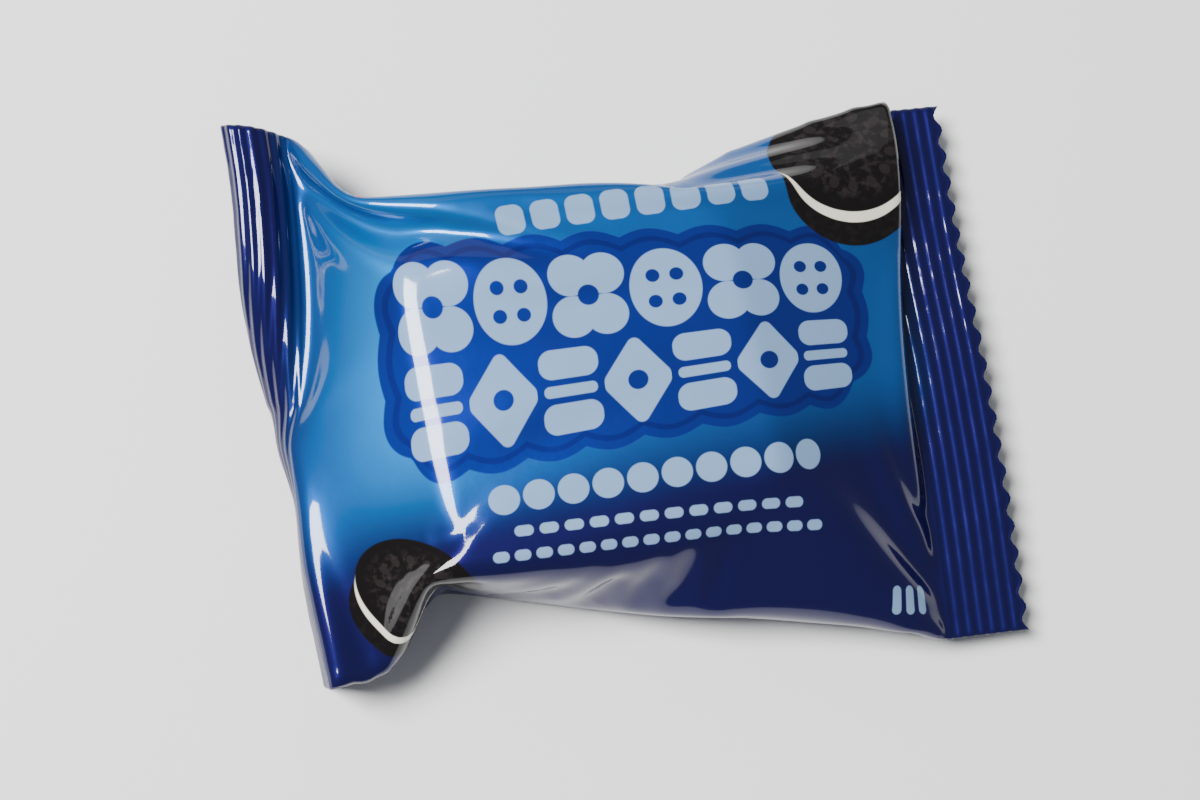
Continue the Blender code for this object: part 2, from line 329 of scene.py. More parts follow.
class Film:
    """A tube of film on a grid: rows along the pack, columns round it from the upper side crease.

    The end seals are held on their layout, and the rest settles by moving points until the
    grid's lengths are those of the film again, round the filling and above the floor.
    """
    STEPS_IN_SEAL = 16
    SLACK_ROUND = 0.05        # share of the girth that the filling's taut part takes up
    SLACK_ALONG = 0.03        # the same along the upper half of the front
    SLACK_BEHIND = 0.045      # and along the back
    BENDING = 0.6
    SHEAR = 0.6
    AIR = 0.001               # outward push of the trapped air on a point, in each step
    CEILING = 0.5             # how far above the filling the film may stand
    SIDE_HOLD = 0.4
    ROUNDS = 10               # passes of the length constraints in a step
    DAMPING = 0.9

    def __init__(self, sizes, pitch):
        self.width = sizes.flat_width / MM
        self.long = sizes.flat_length / MM
        self.seal = sizes.seal / MM
        self.height = sizes.fill / MM
        self.fin = sizes.fin / MM
        self.rows = 2 * round(self.long / pitch / 2)
        self.half = 2 * round(self.width / pitch / 2)
        self.columns = 2 * self.half
        self.s = np.linspace(-self.long / 2, self.long / 2, self.rows + 1)
        front = np.linspace(self.width / 2, -self.width / 2, self.half + 1)
        self.w = np.concatenate([front, front[-2:0:-1]])
        self.side = np.sign(self.half / 2 - np.abs(np.arange(self.columns) - self.half / 2))
        self.pitch_s = self.s[1] - self.s[0]
        self.pitch_w = front[0] - front[1]
        self.root = self.long / 2 - self.seal
        self.place_seals()
        self.set_lengths()
        self.set_pinches()

    def place_seals(self):
        """Flat start of the tube, and where the held seals end up."""
        s, w = np.meshgrid(self.s, self.w, indexing="ij")
        self.flat = np.stack([s, w, self.height / 2 + 0.1 * np.broadcast_to(self.side, s.shape)], -1)
        self.goal = self.flat.copy()
        t = (self.width / 2 - w) / self.width
        left = self.s <= -self.root + 1e-6
        right = self.s >= self.root - 1e-6
        self.goal[left] = self.seal_points(LEFT_ROOT, LEFT_BEND, -1, t[left], -self.root - s[left])
        self.goal[right] = self.seal_points(RIGHT_ROOT, RIGHT_BEND, 1, t[right], s[right] - self.root)
        self.held = left | right
        self.free = ~self.held
        # the back is lifted where the folded fin lies under it
        under_fin = (self.side < 0) & (w[0] > -self.fin - 1.0) & (w[0] < 1.0)
        self.floor = np.where(under_fin, 0.35, 0.0)[None, :]

    def seal_points(self, root_rows, bend_rows, side, t, out):
        """Points of a seal at the distance `out` from its root."""
        root = table(root_rows, t)
        slope, turn, late, drift = np.moveaxis(table(bend_rows, t), -1, 0)
        slope, turn = np.radians(slope), np.radians(turn)
        run, drop = np.zeros_like(out), np.zeros_like(out)
        for step in range(self.STEPS_IN_SEAL):
            part = (step + 0.5) / self.STEPS_IN_SEAL * out / self.seal
            angle = slope + turn * np.maximum(part, 1e-9) ** late
            run += np.cos(angle) * out / self.STEPS_IN_SEAL
            drop += np.sin(angle) * out / self.STEPS_IN_SEAL
        near = np.clip(t, 0.001, 0.999)
        along = table(root_rows, near + 0.001) - table(root_rows, near - 0.001)
        outward = side * np.stack([-along[..., 1], along[..., 0]], -1)
        outward /= np.linalg.norm(outward, axis=-1, keepdims=True)
        points = root.copy()
        points[..., :2] += outward * run[..., None]
        points[..., 1] += drift * out
        points[..., 2] -= drop
        return points

    def set_lengths(self):
        """Rest lengths of the grid, shortened where the filling has taken up the slack."""
        from_left = smoothstep((self.s + self.root) / 14.0)
        from_right = smoothstep((24.0 - self.s) / 20.0)
        self.rest_round = (self.pitch_w * (1 - self.SLACK_ROUND * from_left * from_right))[:, None]
        t = (self.width / 2 - self.w) / self.width
        front = self.SLACK_ALONG * np.clip((0.62 - t) / 0.2, 0, 1) * smoothstep(t / 0.2)
        behind = self.SLACK_BEHIND * smoothstep(t / 0.2) * smoothstep((1 - t) / 0.2)
        slack = np.where(self.side < 0, behind, front)
        in_pouch = self.free[1:] | self.free[:-1]
        self.rest_along = self.pitch_s * (1 - in_pouch[:, None] * slack[None, :])
        self.rest_across = math.hypot(self.pitch_s, self.pitch_w)

    def set_pinches(self):
        """Grid points that are held, with their places and how firmly they are held."""
        self.pinches = []
        for rows, column in ((UPPER_CREASE, 0), (LOWER_CREASE, self.half)):
            for along, *held in rows:
                self.pinches.append((round((along + self.seal) / self.pitch_s), column, held))
        for rows, along in ((SIDE_DENT, SIDE_DENT_AT), (OVERHANG, OVERHANG_AT)):
            row = round((along + self.seal) / self.pitch_s)
            first, last = ((self.width / 2 - place[0]) / self.pitch_w for place in (rows[0], rows[-1]))
            for column in range(math.ceil(first), math.floor(last) + 1):
                held = table(rows[::-1], self.width / 2 - column * self.pitch_w)
                self.pinches.append((row, column, held))
        self.pinches = [(row, column, np.array(held[:3]), held[3])
                        for row, column, held in self.pinches]

    @staticmethod
    def pull(a, b, rest, share):
        """Move of a towards b, and of b towards a, that restores the length between them."""
        gap = b - a
        size = np.sqrt(np.einsum("...k,...k->...", gap, gap)) + 1e-9
        return gap * ((size - rest) / size * (0.5 * share))[..., None]

    def keep_lengths(self, p):
        """One pass over the grid's edges, diagonals and bends."""
        for odd in (0, 1):
            a, b = p[odd:-1:2], p[odd + 1::2]
            move = self.pull(a, b, self.rest_along[odd::2], 1.0)
            a += move
            b -= move
        a, b = p[:, 0::2], p[:, 1::2]
        move = self.pull(a, b, self.rest_round, 1.0)
        a += move
        b -= move
        move = self.pull(b, np.roll(a, -1, axis=1), self.rest_round, 1.0)
        b += move
        a -= np.roll(move, 1, axis=1)
        for odd in (0, 1):
            count = (len(p) - odd) // 2
            for turn in (-1, 1):
                a, b = p[odd:odd + 2 * count:2], p[odd + 1:odd + 1 + 2 * count:2]
                move = self.pull(a, np.roll(b, turn, axis=1), self.rest_across, self.SHEAR)
                a += move
                b -= np.roll(move, -turn, axis=1)
        move = self.pull(p[:-2], p[2:], 2 * self.pitch_s, self.BENDING) * 0.5
        p[:-2] += move
        p[2:] -= move
        move = self.pull(p, np.roll(p, -2, axis=1), 2 * self.pitch_w, self.BENDING) * 0.5
        p += move
        p -= np.roll(move, 2, axis=1)

    def push_off_filling(self, p, grown):
        """Move points out of the stack of biscuits, a rounded block that is `grown` of its height."""
        c, s = math.cos(math.radians(FILLING["turn"])), math.sin(math.radians(FILLING["turn"]))
        x0, y0 = p[..., 0] - FILLING["x"], p[..., 1] - FILLING["y"]
        x, y, z = c * x0 + s * y0, -s * x0 + c * y0, p[..., 2] - self.height / 2
        half_x, half_y, square = FILLING["half_x"], FILLING["half_y"], FILLING["square"]
        high = self.height / 2 * grown
        to_right = smoothstep((x / half_x + 1) / 2)
        edge = FILLING["edge_left"] + (FILLING["edge_right"] - FILLING["edge_left"]) * to_right
        edge = np.minimum(edge, high * 0.99)
        power_x, power_y = (np.abs(x) / half_x) ** (square - 1), (np.abs(y) / half_y) ** (square - 1)
        reach = (power_x * np.abs(x) / half_x + power_y * np.abs(y) / half_y) ** (1 / square) + 1e-9
        out_x, out_y = np.sign(x) * power_x / half_x, np.sign(y) * power_y / half_y
        size = np.sqrt(out_x ** 2 + out_y ** 2) + 1e-12
        out_x, out_y = out_x / size, out_y / size
        beyond = (x * out_x + y * out_y) * (1 - 1 / reach) + edge
        above = np.abs(z) - high + edge
        far_x, far_z = np.maximum(beyond, 0), np.maximum(above, 0)
        far = np.sqrt(far_x ** 2 + far_z ** 2)
        depth = np.minimum(np.maximum(beyond, above), 0) + far - edge
        move = np.where(depth < 0, -depth, 0)
        sideways = np.where(far > 1e-6, far_x / (far + 1e-9), beyond > above) * move
        upward = np.where(far > 1e-6, far_z / (far + 1e-9), beyond <= above) * move
        p[..., 0] += sideways * (c * out_x - s * out_y)
        p[..., 1] += sideways * (s * out_x + c * out_y)
        p[..., 2] += upward * np.sign(z + 1e-9)

    def keep_bounds(self, p, grown):
        """Hold the film above the floor, under its ceiling and inside its two long sides."""
        p[..., 2] = np.maximum(p[..., 2], self.floor * grown)
        body = p[self.free]
        hold = self.SIDE_HOLD * grown
        body[..., 2] -= hold * np.maximum(body[..., 2] - self.height - self.CEILING, 0)
        upper, lower = table(UPPER_SIDE, body[..., 0]), table(LOWER_SIDE, body[..., 0])
        body[..., 1] -= hold * np.maximum(body[..., 1] - upper[..., 0], 0)
        body[..., 1] += hold * np.maximum(lower[..., 0] - body[..., 1], 0)
        p[self.free] = body

    def normals(self, p):
        """Outward normals of the tube."""
        along = np.gradient(p, axis=0)
        round_it = np.roll(p, -1, axis=1) - np.roll(p, 1, axis=1)
        normal = np.cross(round_it, along)
        return normal / (np.linalg.norm(normal, axis=-1, keepdims=True) + 1e-9)

    def settle(self, p, filling_steps, still_steps):
        """Close the seals and grow the filling over the first steps, then let the film rest."""
        speed = np.zeros_like(p)
        for step in range(filling_steps + still_steps):
            grown = float(smoothstep((step + 1) / filling_steps)) if filling_steps else 1.0
            start = p.copy()
            p = p + speed * self.DAMPING + self.normals(p) * self.AIR * grown
            seals = self.flat + (self.goal - self.flat) * grown
            for _ in range(self.ROUNDS):
                p[self.held] = seals[self.held]
                self.keep_lengths(p)
                self.push_off_filling(p, grown)
                self.keep_bounds(p, grown)
                for row, column, place, hold in self.pinches:
                    p[row, column] += (place - p[row, column]) * hold * grown
            p[self.held] = seals[self.held]
            speed = p - start
            size = np.linalg.norm(speed, axis=-1, keepdims=True)
            speed *= np.minimum(1.0, 1.0 / (size + 1e-9))
        return p


def spline_read(points, at, closed):
    """Cubic B-spline through a grid's first axis, read at fractional places."""
    count = len(points)
    whole = np.floor(at).astype(int)
    if not closed:
        whole = np.minimum(whole, count - 2)
    part = (at - whole).reshape(-1, *([1] * (points.ndim - 1)))
    if closed:
        a, b, c, d = (points[(whole + k) % count] for k in (-1, 0, 1, 2))
    else:
        ends = [2 * points[:1] - points[1:2], points, 2 * points[-1:] - points[-2:-1]]
        padded = np.concatenate(ends)
        a, b, c, d = (padded[whole + 1 + k] for k in (-1, 0, 1, 2))
    return (a * (1 - part) ** 3 + b * (3 * part ** 3 - 6 * part ** 2 + 4)
            + c * (-3 * part ** 3 + 3 * part ** 2 + 3 * part + 1) + d * part ** 3) / 6


def relaxed_film(sizes):
    """The settled film: a coarse grid first, then a finer one that starts from it."""
    coarse = Film(sizes, 2 * sizes.fine / MM)
    points = coarse.flat.copy()
    noise = np.random.default_rng(1).normal(0.0, 0.02, points.shape)
    points[coarse.free] += noise[coarse.free]
    points = coarse.settle(points, 110, 40)
    film = Film(sizes, sizes.fine / MM)
    points = spline_read(points, np.linspace(0, coarse.rows, film.rows + 1), False)
    around = np.arange(film.columns) * coarse.columns / film.columns
    points = spline_read(points.swapaxes(0, 1), around, True).swapaxes(0, 1)
    return film, film.settle(points, 0, 50)


# ---- the film as a mesh --------------------------------------------------------------------------
SEAL_STEP = 0.2           # rows in a seal
BODY_STEP = 0.5           # rows in the pouch, and all columns
FIN_ROOM = 0.26           # height of the film's back over the floor, which the fin takes up


def film_rows(film):
    """Lengths of film at which the mesh has a row: close ones in the seals."""
    seal = round(film.seal / SEAL_STEP)
    body = round(2 * film.root / BODY_STEP)
    return np.concatenate([np.linspace(-film.long / 2, -film.root, seal + 1)[:-1],
                           np.linspace(-film.root, film.root, body + 1)[:-1],
                           np.linspace(film.root, film.long / 2, seal + 1)])


def fine_grid(film, points):
    """Film grid at the mesh's rows and columns."""
    rows = film_rows(film)
    grid = spline_read(points, (rows - film.s[0]) / film.pitch_s, False)
    columns = 4 * round(film.width / BODY_STEP / 2)
    around = np.arange(columns) * film.columns / columns
    return rows, spline_read(grid.swapaxes(0, 1), around, True).swapaxes(0, 1)


def film_across(width, columns):
    """Distances across the unrolled film at the start and end of each strip of faces.

    0 is the middle of the front, and the jump is in the middle of the back, where the fin is.
    """
    step = 2 * width / columns
    start = width / 2 - step * np.arange(columns)
    start[columns * 3 // 4:] += 2 * width
    return np.stack([start, start - step], -1)


def mesh_from_grid(name, grid, uv_rows, uv_columns, caps):
    """Closed tube from a grid of rings, with the unrolled film as its UV map, in millimetres."""
    rows, columns = grid.shape[:2]
    index = np.arange(rows * columns).reshape(rows, columns)
    following = np.roll(index, -1, axis=1)
    quads = np.stack([index[:-1], following[:-1], following[1:], index[1:]], -1).reshape(-1, 4)
    faces = quads.tolist()
    half = columns // 2
    for ring, facing in (((index[0], -1), (index[-1], 1)) if caps else ()):
        for k in range(half):
            corners = [ring[k], ring[k + 1], ring[columns - k - 1], ring[(columns - k) % columns]]
            corners = [int(c) for c in dict.fromkeys(corners)]
            faces.append(corners[::facing])
    mesh = bpy.data.meshes.new(name)
    mesh.from_pydata((grid.reshape(-1, 3) * MM).tolist(), [], faces)
    layer = mesh.uv_layers.new(name="film")
    u = np.repeat(uv_rows, columns)
    v = np.tile(uv_columns[:, 0], rows)
    corner_vertex = np.zeros(len(mesh.loops), int)
    mesh.loops.foreach_get("vertex_index", corner_vertex)
    uv = np.stack([u[corner_vertex], v[corner_vertex]], -1)
    quad_uv = uv[:4 * len(quads)].reshape(rows - 1, columns, 4, 2)
    quad_uv[:, :, 1:3, 1] = uv_columns[:, 1:]
    layer.data.foreach_set("uv", uv.astype(np.float32).ravel())
    mesh.shade_smooth()
    return mesh


def put(mesh, name, material):
    """Object of a mesh, with its material, in the scene."""
    new = bpy.data.objects.new(name, mesh)
    bpy.context.scene.collection.objects.link(new)
    new.data.materials.append(material)
    return new


def store(mesh, name, values):
    """Store a number or a vector on each point of a mesh."""
    vector = values.ndim > 1
    layer = mesh.attributes.new(name, "FLOAT_VECTOR" if vector else "FLOAT", "POINT")
    layer.data.foreach_set("vector" if vector else "value", values.astype(np.float32).ravel())


def crimp_tree(material):
    """Geometry nodes that press the ribs into the end seals and cut their teeth."""
    group = bpy.data.node_groups.new("seal_crimp", "GeometryNodeTree")
    face = group.interface
    face.new_socket("Geometry", in_out="INPUT", socket_type="NodeSocketGeometry")
    for name in ("Rib pitch", "Rib height", "Tooth pitch", "Tooth depth", "Seal width"):
        face.new_socket(name, in_out="INPUT", socket_type="NodeSocketFloat")
    face.new_socket("Geometry", in_out="OUTPUT", socket_type="NodeSocketGeometry")
    tree = Tree(group)
    given = tree.node("NodeGroupInput")
    rib_pitch, rib_height, tooth_pitch, tooth_depth, seal_width = (
        Value(tree, given.outputs[k]) for k in range(1, 6))

    def stored(name, kind="FLOAT"):
        node = tree.node("GeometryNodeInputNamedAttribute", {"data_type": kind}, {"Name": name})
        return node.outputs[0]

    depth = Value(tree, stored("seal_depth"))
    across = Value(tree, stored("film_across"))
    wave = tree.maths("SINE", depth * math.tau / rib_pitch)
    ramp = tree.smooth(depth, 0.0, 0.0006) * tree.smooth(depth, seal_width, seal_width - 0.0004)
    crinkle = tree.node("ShaderNodeTexNoise", {"noise_dimensions": "3D"},
                        {"Scale": 260.0, "Detail": 2.0})
    uneven = Value(tree, crinkle.outputs[0]) - 0.5
    lift = ramp * rib_height * (wave * 0.5 + uneven * 0.9)
    phase = tree.maths("COSINE", across * math.tau / tooth_pitch)
    edge = tree.smooth(depth, seal_width - 0.0014, seal_width)
    reach = edge * tooth_depth * 0.5 * phase
    move_out = tree.node("ShaderNodeVectorMath", {"operation": "SCALE"},
                         {0: stored("outward", "FLOAT_VECTOR"), 3: reach})
    move_up = tree.node("ShaderNodeVectorMath", {"operation": "SCALE"},
                        {0: stored("film_normal", "FLOAT_VECTOR"), 3: lift})
    move = tree.node("ShaderNodeVectorMath", {"operation": "ADD"},
                     {0: move_out.outputs[0], 1: move_up.outputs[0]})
    moved = tree.node("GeometryNodeSetPosition", None,
                      {"Geometry": given.outputs[0], "Offset": move.outputs[0]})
    real = tree.node("GeometryNodeRealizeInstances", None, {"Geometry": moved.outputs[0]})
    painted = tree.node("GeometryNodeSetMaterial", None,
                        {"Geometry": real.outputs[0], "Material": material})
    tree.node("NodeGroupOutput", None, {0: painted.outputs[0]})
    return group


def apply_nodes(piece, group, values):
    """Run a geometry node group on a piece and keep the result as its plain mesh."""
    modifier = piece.modifiers.new("nodes", "NODES")
    modifier.node_group = group
    for item in group.interface.items_tree:
        if item.in_out == "INPUT" and item.name in values:
            modifier[item.identifier] = values[item.name]
    bpy.context.view_layer.update()
    ready = piece.evaluated_get(bpy.context.evaluated_depsgraph_get())
    old = piece.data
    piece.data = bpy.data.meshes.new_from_object(ready)
    piece.data.name = piece.name
    piece.modifiers.clear()
    bpy.data.meshes.remove(old)


# ---- print and film material ---------------------------------------------------------------------
SOFT_EDGE = 0.07          # half width of a printed edge's blur, in millimetres


class Print:
    """Printed shapes on the unrolled film: x along it and y across it, in millimetres."""

    def __init__(self, tree, x, y):
        self.tree = tree
        self.x = x
        self.y = y

    def turned(self, x, y, degrees):
        """The same film with its origin at a place and turned."""
        c, s = math.cos(math.radians(degrees)), math.sin(math.radians(degrees))
        dx, dy = self.x - x, self.y - y
        return Print(self.tree, dx * c + dy * s, dy * c - dx * s)

    def moved(self, x, y):
        return Print(self.tree, self.x - x, self.y - y)

    def inked(self, distance, blur=SOFT_EDGE):
        """Coverage of a shape from its signed distance."""
        return self.tree.clamp(0.5 - distance / (2 * blur))

    def disc(self, radius, x=0.0, y=0.0):
        return self.tree.hypot(self.x - x, self.y - y) - radius

    def oval(self, wide, high):
        """Roughly the signed distance of an ellipse."""
        return (self.tree.hypot(self.x / wide, self.y / high) - 1.0) * min(wide, high)

    def block(self, wide, high, corner):
        """Signed distance of a rounded block with these half sizes."""
        tree = self.tree
        dx, dy = abs(self.x) - (wide - corner), abs(self.y) - (high - corner)
        outer = tree.hypot(tree.most(dx, 0.0), tree.most(dy, 0.0))
        return outer + tree.least(tree.most(dx, dy), 0.0) - corner

    def row(self, pitch, count):
        """Repeats the film in a centred row of cells; gives a cell's film and its number."""
        tree = self.tree
        shifted = self.x / pitch + count / 2
        number = tree.least(tree.most(tree.maths("FLOOR", shifted), 0.0), count - 1.0)
        cell = Print(tree, (shifted - number - 0.5) * pitch, self.y)
        return cell, number


def film_material(colours):
    """Printed metallised film with a clear gloss coat."""
    material = bpy.data.materials.new("printed_film")
    material.use_nodes = True
    material.node_tree.nodes.clear()
    tree = Tree(material.node_tree)
    place = tree.node("ShaderNodeUVMap", {"uv_map": "film"})
    split = tree.node("ShaderNodeSeparateXYZ", None, {0: place.outputs[0]})
    film = Print(tree, Value(tree, split.outputs[0]), Value(tree, split.outputs[1]))
    x, y = film.x, film.y

    # ground: navy ends and lower side, azure middle, and on the left panel cyan that is partly print
    # and partly a painted highlight of the window light's reflection
    side = tree.smooth(y + x * -0.18, -17.0, -5.0) * tree.smooth(y, 44.0, 30.0)
    ends = tree.smooth(x, -43.0, -36.0) * tree.smooth(x, 44.0, 33.0)
    # cyan on the left panel, partly print and partly a painted highlight; it fades out away from the
    # panel's middle
    cyan_ink_and_painted_highlight = tree.smooth(abs(x + 25.0), 13.0, 1.0) * tree.smooth(abs(y - 4.0), 26.0, 6.0)
    ground = tree.mix(side * ends, opaque(colours.navy), opaque(colours.azure))
    ground = tree.mix(cyan_ink_and_painted_highlight * side * ends, ground, opaque(colours.cyan))

    # plaque with a scalloped rim and a line inside it
    panel = film.turned(0.8, 4.2, 3.5)
    panel = Print(tree, panel.x, panel.y / (1.0 - panel.x * 0.0065))
    lobes = abs(tree.maths("SINE", panel.x * (math.pi / 6.6)))
    ends_lobes = abs(tree.maths("SINE", panel.y * (math.pi / 6.6) + math.pi / 2))
    rim = panel.block(28.0, 11.6, 6.5) - lobes * 0.9 - ends_lobes * 0.5
    art = tree.mix(panel.inked(rim), ground, opaque(colours.plaque))
    line = abs(rim + 1.2) - 0.28
    art = tree.mix(panel.inked(line) * 0.8, art, opaque(colours.outline))

    # two rows of pale round-cornered motifs, alternately buttons and bars
    pale = None

    def add_pale(mask):
        nonlocal pale
        pale = mask if pale is None else tree.most(pale, mask)

    # upper row: clovers and buttons
    cell, number = panel.moved(0.0, 5.4).row(8.8, 6)
    odd = tree.maths("MODULO", number, 2.0)
    corner = Print(tree, abs(cell.x), abs(cell.y))
    clover = tree.most(corner.disc(2.45, 1.85, 2.45), -(cell.disc(1.2)))
    button = tree.most(cell.oval(4.1, 4.9), -(corner.disc(0.8, 1.35, 1.6)))
    add_pale(cell.inked(clover + odd * (button - clover)))
    # lower row: stacks and diamonds
    cell, number = panel.moved(0.0, -5.4).row(7.6, 7)
    odd = tree.maths("MODULO", number, 2.0)
    level = Print(tree, cell.x, abs(cell.y))
    stack = tree.least(level.moved(0.0, 3.1).block(3.35, 1.7, 1.5), level.block(3.0, 0.65, 0.6))
    tall = Print(tree, cell.x, cell.y * 0.76).turned(0.0, 0.0, 45.0)
    diamond = tree.most(tall.block(3.0, 3.0, 1.0), -(cell.disc(1.15)))
    add_pale(cell.inked(stack + odd * (diamond - stack)))

    # smaller rows above and below the plaque, and a mark in the corner
    cell, number = film.turned(2.0, 20.5, 4.5).row(4.0, 8)
    add_pale(cell.inked(cell.block(1.6, 1.8, 1.1)))
    cell, number = film.turned(3.0, -12.6, 6.0).row(3.9, 10)
    add_pale(cell.inked(cell.disc(1.75)))
    for y_row, pitch, count in ((-17.2, 2.8, 12), (-20.0, 2.4, 16)):
        cell, number = film.turned(3.0, y_row, 3.5).row(pitch, count)
        add_pale(cell.inked(cell.block(pitch * 0.38, 0.62, 0.6)))
    cell, number = film.moved(34.0, -27.8).row(1.9, 3)
    add_pale(cell.inked(cell.block(0.6, 1.7, 0.6)))
    art = tree.mix(pale, art, opaque(colours.pale))

    # pictured biscuits: two dark wafers with cream between them, seen a little from below
    grain = tree.node("ShaderNodeTexNoise", None, {"Vector": place.outputs[0], "Scale": 0.9,
                                                   "Detail": 4.0, "Roughness": 0.6})
    crumb = tree.smooth(Value(tree, grain.outputs[0]), 0.46, 0.66)
    dark, light = (opaque(tuple(c * k for c in colours.wafer)) for k in (1.0, 4.5))
    edge_ink = tree.mix(crumb * 0.25, dark, light)
    biscuits = None
    for x_at, y_at, turn, wide, high, thick in ((28.4, 26.6, 0.0, 8.8, 8.3, 1.3),
                                                (-25.5, -24.5, -30.0, 9.2, 6.0, 0.9)):
        picture = film.turned(x_at, y_at, turn)
        face = picture.oval(wide, high)
        cream = picture.moved(0.0, -thick).oval(wide * 0.97, high)
        under = picture.moved(0.0, -thick * 3.2).oval(wide * 0.98, high)
        angle = tree.maths("ARCTAN2", picture.y * (wide / high), picture.x) * (14 / math.tau)
        bead = tree.maths("FRACT", angle) - 0.5
        radius = tree.hypot(picture.x, picture.y * (wide / high)) / wide
        marks = tree.hypot(bead * 0.36, radius - 0.62) - 0.09
        relief = tree.most(crumb * tree.clamp(4.5 - radius * 5.0), picture.inked(marks * wide) * 0.7)
        art = tree.mix(picture.inked(under), art, edge_ink)
        art = tree.mix(picture.inked(cream), art, opaque(colours.cream))
        art = tree.mix(picture.inked(face), art, tree.mix(relief, dark, light))
        both = tree.most(picture.inked(under), picture.inked(face))
        biscuits = both if biscuits is None else tree.most(biscuits, both)

    # side patches and the plain panel on the back
    patch = film.moved(-26.5, 28.3).block(2.6, 2.6, 0.9)
    art = tree.mix(film.inked(patch), art, opaque(colours.red))
    back_panel = film.moved(2.0, 52.0).block(26.0, 8.5, 2.0)
    art = tree.mix(film.inked(back_panel), art, opaque(colours.pale))
    stripes, number = film.moved(2.0, 52.0).row(60.0, 1)
    lines = abs(tree.maths("FRACT", stripes.y / 2.4) - 0.5) - 0.12
    fine_lines = tree.clamp(0.5 - lines * 8.0) * film.inked(patch * 0.0 + back_panel + 2.0)
    art = tree.mix(fine_lines * 0.7, art, opaque(colours.plaque))

    opaque_ink = tree.most(pale, biscuits)
    ripple = tree.node("ShaderNodeTexNoise", None, {"Vector": place.outputs[0], "Scale": 0.35,
                                                    "Detail": 3.0, "Roughness": 0.5})
    bump = tree.node("ShaderNodeBump", None, {"Strength": 0.25, "Distance": 0.00012,
                                              "Height": ripple.outputs[0]})
    shader = tree.node("ShaderNodeBsdfPrincipled", None, {
        "Base Color": art, "Metallic": 0.38 - opaque_ink * 0.3,
        "Roughness": 0.36 + opaque_ink * 0.12, "Coat Weight": 0.8, "Coat Roughness": 0.07,
        "Coat IOR": 1.55, "Specular IOR Level": 0.0, "Normal": bump.outputs[0]})
    tree.node("ShaderNodeOutputMaterial", None, {0: shader.outputs[0]})
    return material


# ---- operators -----------------------------------------------------------------------------------
class PACK_OT_wrapper(bpy.types.Operator):
    """Relax the film round the biscuits and make the sealed wrapper with its folded fin"""
    bl_idname = "pack.wrapper"
    bl_label = "Wrapper"
    bl_options = {"REGISTER", "UNDO"}

    def execute(self, context):
        sizes, colours = context.scene.pack_sizes, context.scene.pack_colours
        film, points = relaxed_film(sizes)
        rows, grid = fine_grid(film, points)
        middle = (grid.reshape(-1, 3).min(0) + grid.reshape(-1, 3).max(0)) / 2
        shift = np.array([CAD_MIDDLE.x, CAD_MIDDLE.y, 0.0]) / MM - middle * (1, 1, 0)
        context.scene["pack_shift"] = list(shift)
        grid = grid + shift
        grid[..., 2] = np.maximum(grid[..., 2], FIN_ROOM)
        material = film_material(colours)
        wrapper = self.make_wrapper(film, rows, grid, sizes, material)
        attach(wrapper, "root")
        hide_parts("film_pack")
        fin = self.make_fin(film, rows, grid, sizes, material)
        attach(fin, "root")
        return {"FINISHED"}

    def make_wrapper(self, film, rows, grid, sizes, material):
        """The film tube with crimped and toothed ends, as one closed mesh."""
        columns = grid.shape[1]
        half = columns // 2
        along = np.gradient(grid, rows, axis=0)
        round_it = np.roll(grid, -1, axis=1) - np.roll(grid, 1, axis=1)
        normal = np.cross(round_it, along)
        size = np.linalg.norm(normal, axis=-1, keepdims=True)
        normal = normal / np.maximum(size, 0.2 * np.median(size))
        depth = np.maximum(np.abs(rows) - film.root, 0.0)
        in_seal = depth > 0
        # both sheets of a seal are pressed the same way, along the front sheet's normal
        mirror = np.where(np.arange(columns) > half, columns - np.arange(columns), np.arange(columns))
        press = normal[:, mirror]
        press[:, 0] = press[:, 1]
        press[:, half] = press[:, half - 1]
        swell = normal * (sizes.gauge / MM / 2)
        swell[in_seal, 0] = 0.0
        swell[in_seal, half] = 0.0
        across = film_across(film.width, columns)
        mesh = mesh_from_grid("wrapper", grid + swell, rows, across, True)
        outward = along * np.sign(rows)[:, None, None]
        outward = outward / np.linalg.norm(outward, axis=-1, keepdims=True)
        front_across = across[mirror, 0]
        store(mesh, "seal_depth", np.repeat(depth * MM, columns))
        store(mesh, "film_across", np.tile(front_across * MM, len(rows)))
        store(mesh, "outward", outward.reshape(-1, 3))
        store(mesh, "film_normal", (press * in_seal[:, None, None]).reshape(-1, 3))
        wrapper = put(mesh, "wrapper", material)
        apply_nodes(wrapper, crimp_tree(material), {
            "Rib pitch": sizes.seal / sizes.ribs, "Rib height": sizes.rib,
            "Tooth pitch": sizes.flat_width / sizes.teeth, "Tooth depth": sizes.tooth,
            "Seal width": sizes.seal})
        for name in ("seal_depth", "film_across", "outward", "film_normal"):
            wrapper.data.attributes.remove(wrapper.data.attributes[name])
        return wrapper

    def make_fin(self, film, rows, grid, sizes, material):
        """The fin seal: a strip folded flat against the back, from cut edge to cut edge."""
        columns = grid.shape[1]
        step = 2 * film.width / columns
        centre = columns // 2 + columns // 4
        count = round(film.fin / step)
        keep = slice(3, -3)
        strip = grid[keep, centre:centre + count + 1]
        along = np.gradient(strip, axis=0)
        over = np.gradient(strip, axis=1)
        normal = np.cross(over, along)
        normal /= np.linalg.norm(normal, axis=-1, keepdims=True) + 1e-9
        inner, outer = strip + normal * 0.12, strip + normal * (FIN_ROOM + 0.02)
        outer[..., 2] = np.maximum(outer[..., 2], 0.0)
        ring = np.concatenate([outer, inner[:, ::-1]], axis=1)
        across = 70.0 + step * np.arange(count + 1)
        across = np.concatenate([across, across[::-1]])
        uv_columns = np.stack([across, np.roll(across, -1)], -1)
        mesh = mesh_from_grid("fin_seal", ring, rows[keep], uv_columns, False)
        return put(mesh, "fin_seal", material)


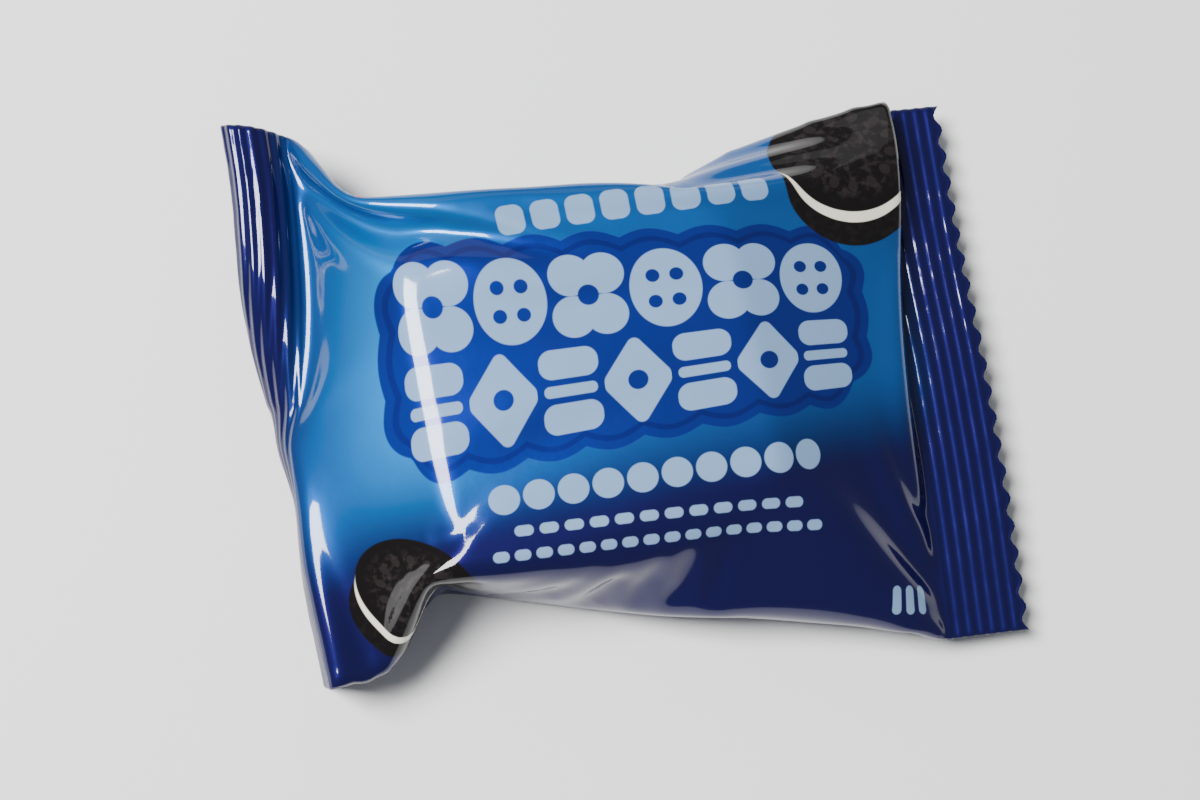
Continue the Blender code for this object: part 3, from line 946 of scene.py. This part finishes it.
class PACK_OT_stage(bpy.types.Operator):
    """Make the floor, the studio lights and the camera"""
    bl_idname = "pack.stage"
    bl_label = "Stage"
    bl_options = {"REGISTER", "UNDO"}

    def execute(self, context):
        settings = context.scene.pack_stage
        if settings.show_floor:
            self.make_floor(settings)
        self.make_lights(settings)
        self.make_camera(context)
        return {"FINISHED"}

    def make_floor(self, settings):
        mesh = bpy.data.meshes.new("floor")
        corners = [(-1.5, -1.5, 0.0), (1.5, -1.5, 0.0), (1.5, 1.5, 0.0), (-1.5, 1.5, 0.0)]
        mesh.from_pydata(corners, [], [(0, 1, 2, 3)])
        material = bpy.data.materials.new("floor")
        material.use_nodes = True
        shader = material.node_tree.nodes["Principled BSDF"]
        shader.inputs["Base Color"].default_value = opaque(settings.floor)
        shader.inputs["Roughness"].default_value = 0.8
        put(mesh, "floor", material)

    def make_lights(self, settings):
        for name, place, size, power in (
                ("window", (-0.33, 0.12, 0.65), (0.25, 0.32), settings.key * 8.0),
                ("back", (0.05, 0.80, 0.60), (1.2, 0.5), settings.key * 0.7)):
            light = bpy.data.lights.new(name, "AREA")
            light.shape = "RECTANGLE"
            light.size, light.size_y = size
            light.energy = power
            lamp = bpy.data.objects.new(name, light)
            lamp.location = place
            lamp.rotation_euler = Vector(place).to_track_quat("Z", "Y").to_euler()
            bpy.context.scene.collection.objects.link(lamp)
        world = bpy.data.worlds.new("studio")
        world.use_nodes = True
        background = world.node_tree.nodes["Background"]
        background.inputs["Color"].default_value = (0.78, 0.82, 0.88, 1.0)
        background.inputs["Strength"].default_value = 0.26
        bpy.context.scene.world = world

    def make_camera(self, context):
        """Camera almost straight above the pack, a little from its left and its lower side."""
        azimuth, elevation, roll = math.radians(-22.0), math.radians(80.0), math.radians(6.5)
        distance, focal_pixels = 0.235, 1960.0
        back = Vector((math.sin(azimuth) * math.cos(elevation),
                       -math.cos(azimuth) * math.cos(elevation), math.sin(elevation)))
        right = Vector((0.0, 1.0, 0.0)).cross(back).normalized()
        up = back.cross(right)
        right, up = (math.cos(roll) * right - math.sin(roll) * up,
                     math.sin(roll) * right + math.cos(roll) * up)
        data = bpy.data.cameras.new("camera")
        data.sensor_width = 36.0
        data.lens = focal_pixels / 1200 * data.sensor_width
        data.shift_x = -20 / 1200
        data.shift_y = -5 / 1200
        data.clip_start = 0.01
        camera = bpy.data.objects.new("camera", data)
        shift = context.scene["pack_shift"]
        target = Vector((shift[0], shift[1], 8.0)) * MM
        turn = Matrix((right, up, back)).transposed().to_4x4()
        camera.matrix_world = Matrix.Translation(target + back * distance) @ turn
        context.scene.collection.objects.link(camera)
        context.scene.camera = camera


class PACK_PT_panel(bpy.types.Panel):
    """Shows the pack's operators and settings"""
    bl_idname = "PACK_PT_panel"
    bl_label = "Biscuit pack"
    bl_space_type = "VIEW_3D"
    bl_region_type = "UI"
    bl_category = "Pack"

    def draw(self, context):
        for operator in (PACK_OT_wrapper, PACK_OT_stage):
            self.layout.operator(operator.bl_idname)
        for group in (context.scene.pack_sizes, context.scene.pack_colours,
                      context.scene.pack_stage):
            for name in group.bl_rna.properties.keys():
                if name not in ("rna_type", "name"):
                    self.layout.prop(group, name)


CLASSES = (PackSizes, PrintColours, StageSettings, PACK_OT_wrapper, PACK_OT_stage, PACK_PT_panel)


def register():
    for item in CLASSES:
        bpy.utils.register_class(item)
    bpy.types.Scene.pack_sizes = PointerProperty(type=PackSizes)
    bpy.types.Scene.pack_colours = PointerProperty(type=PrintColours)
    bpy.types.Scene.pack_stage = PointerProperty(type=StageSettings)


def unregister():
    del bpy.types.Scene.pack_stage
    del bpy.types.Scene.pack_colours
    del bpy.types.Scene.pack_sizes
    for item in reversed(CLASSES):
        bpy.utils.unregister_class(item)


def main():
    register()
    bpy.ops.pack.wrapper()
    bpy.ops.pack.stage()


if __name__ == "__main__":
    main()
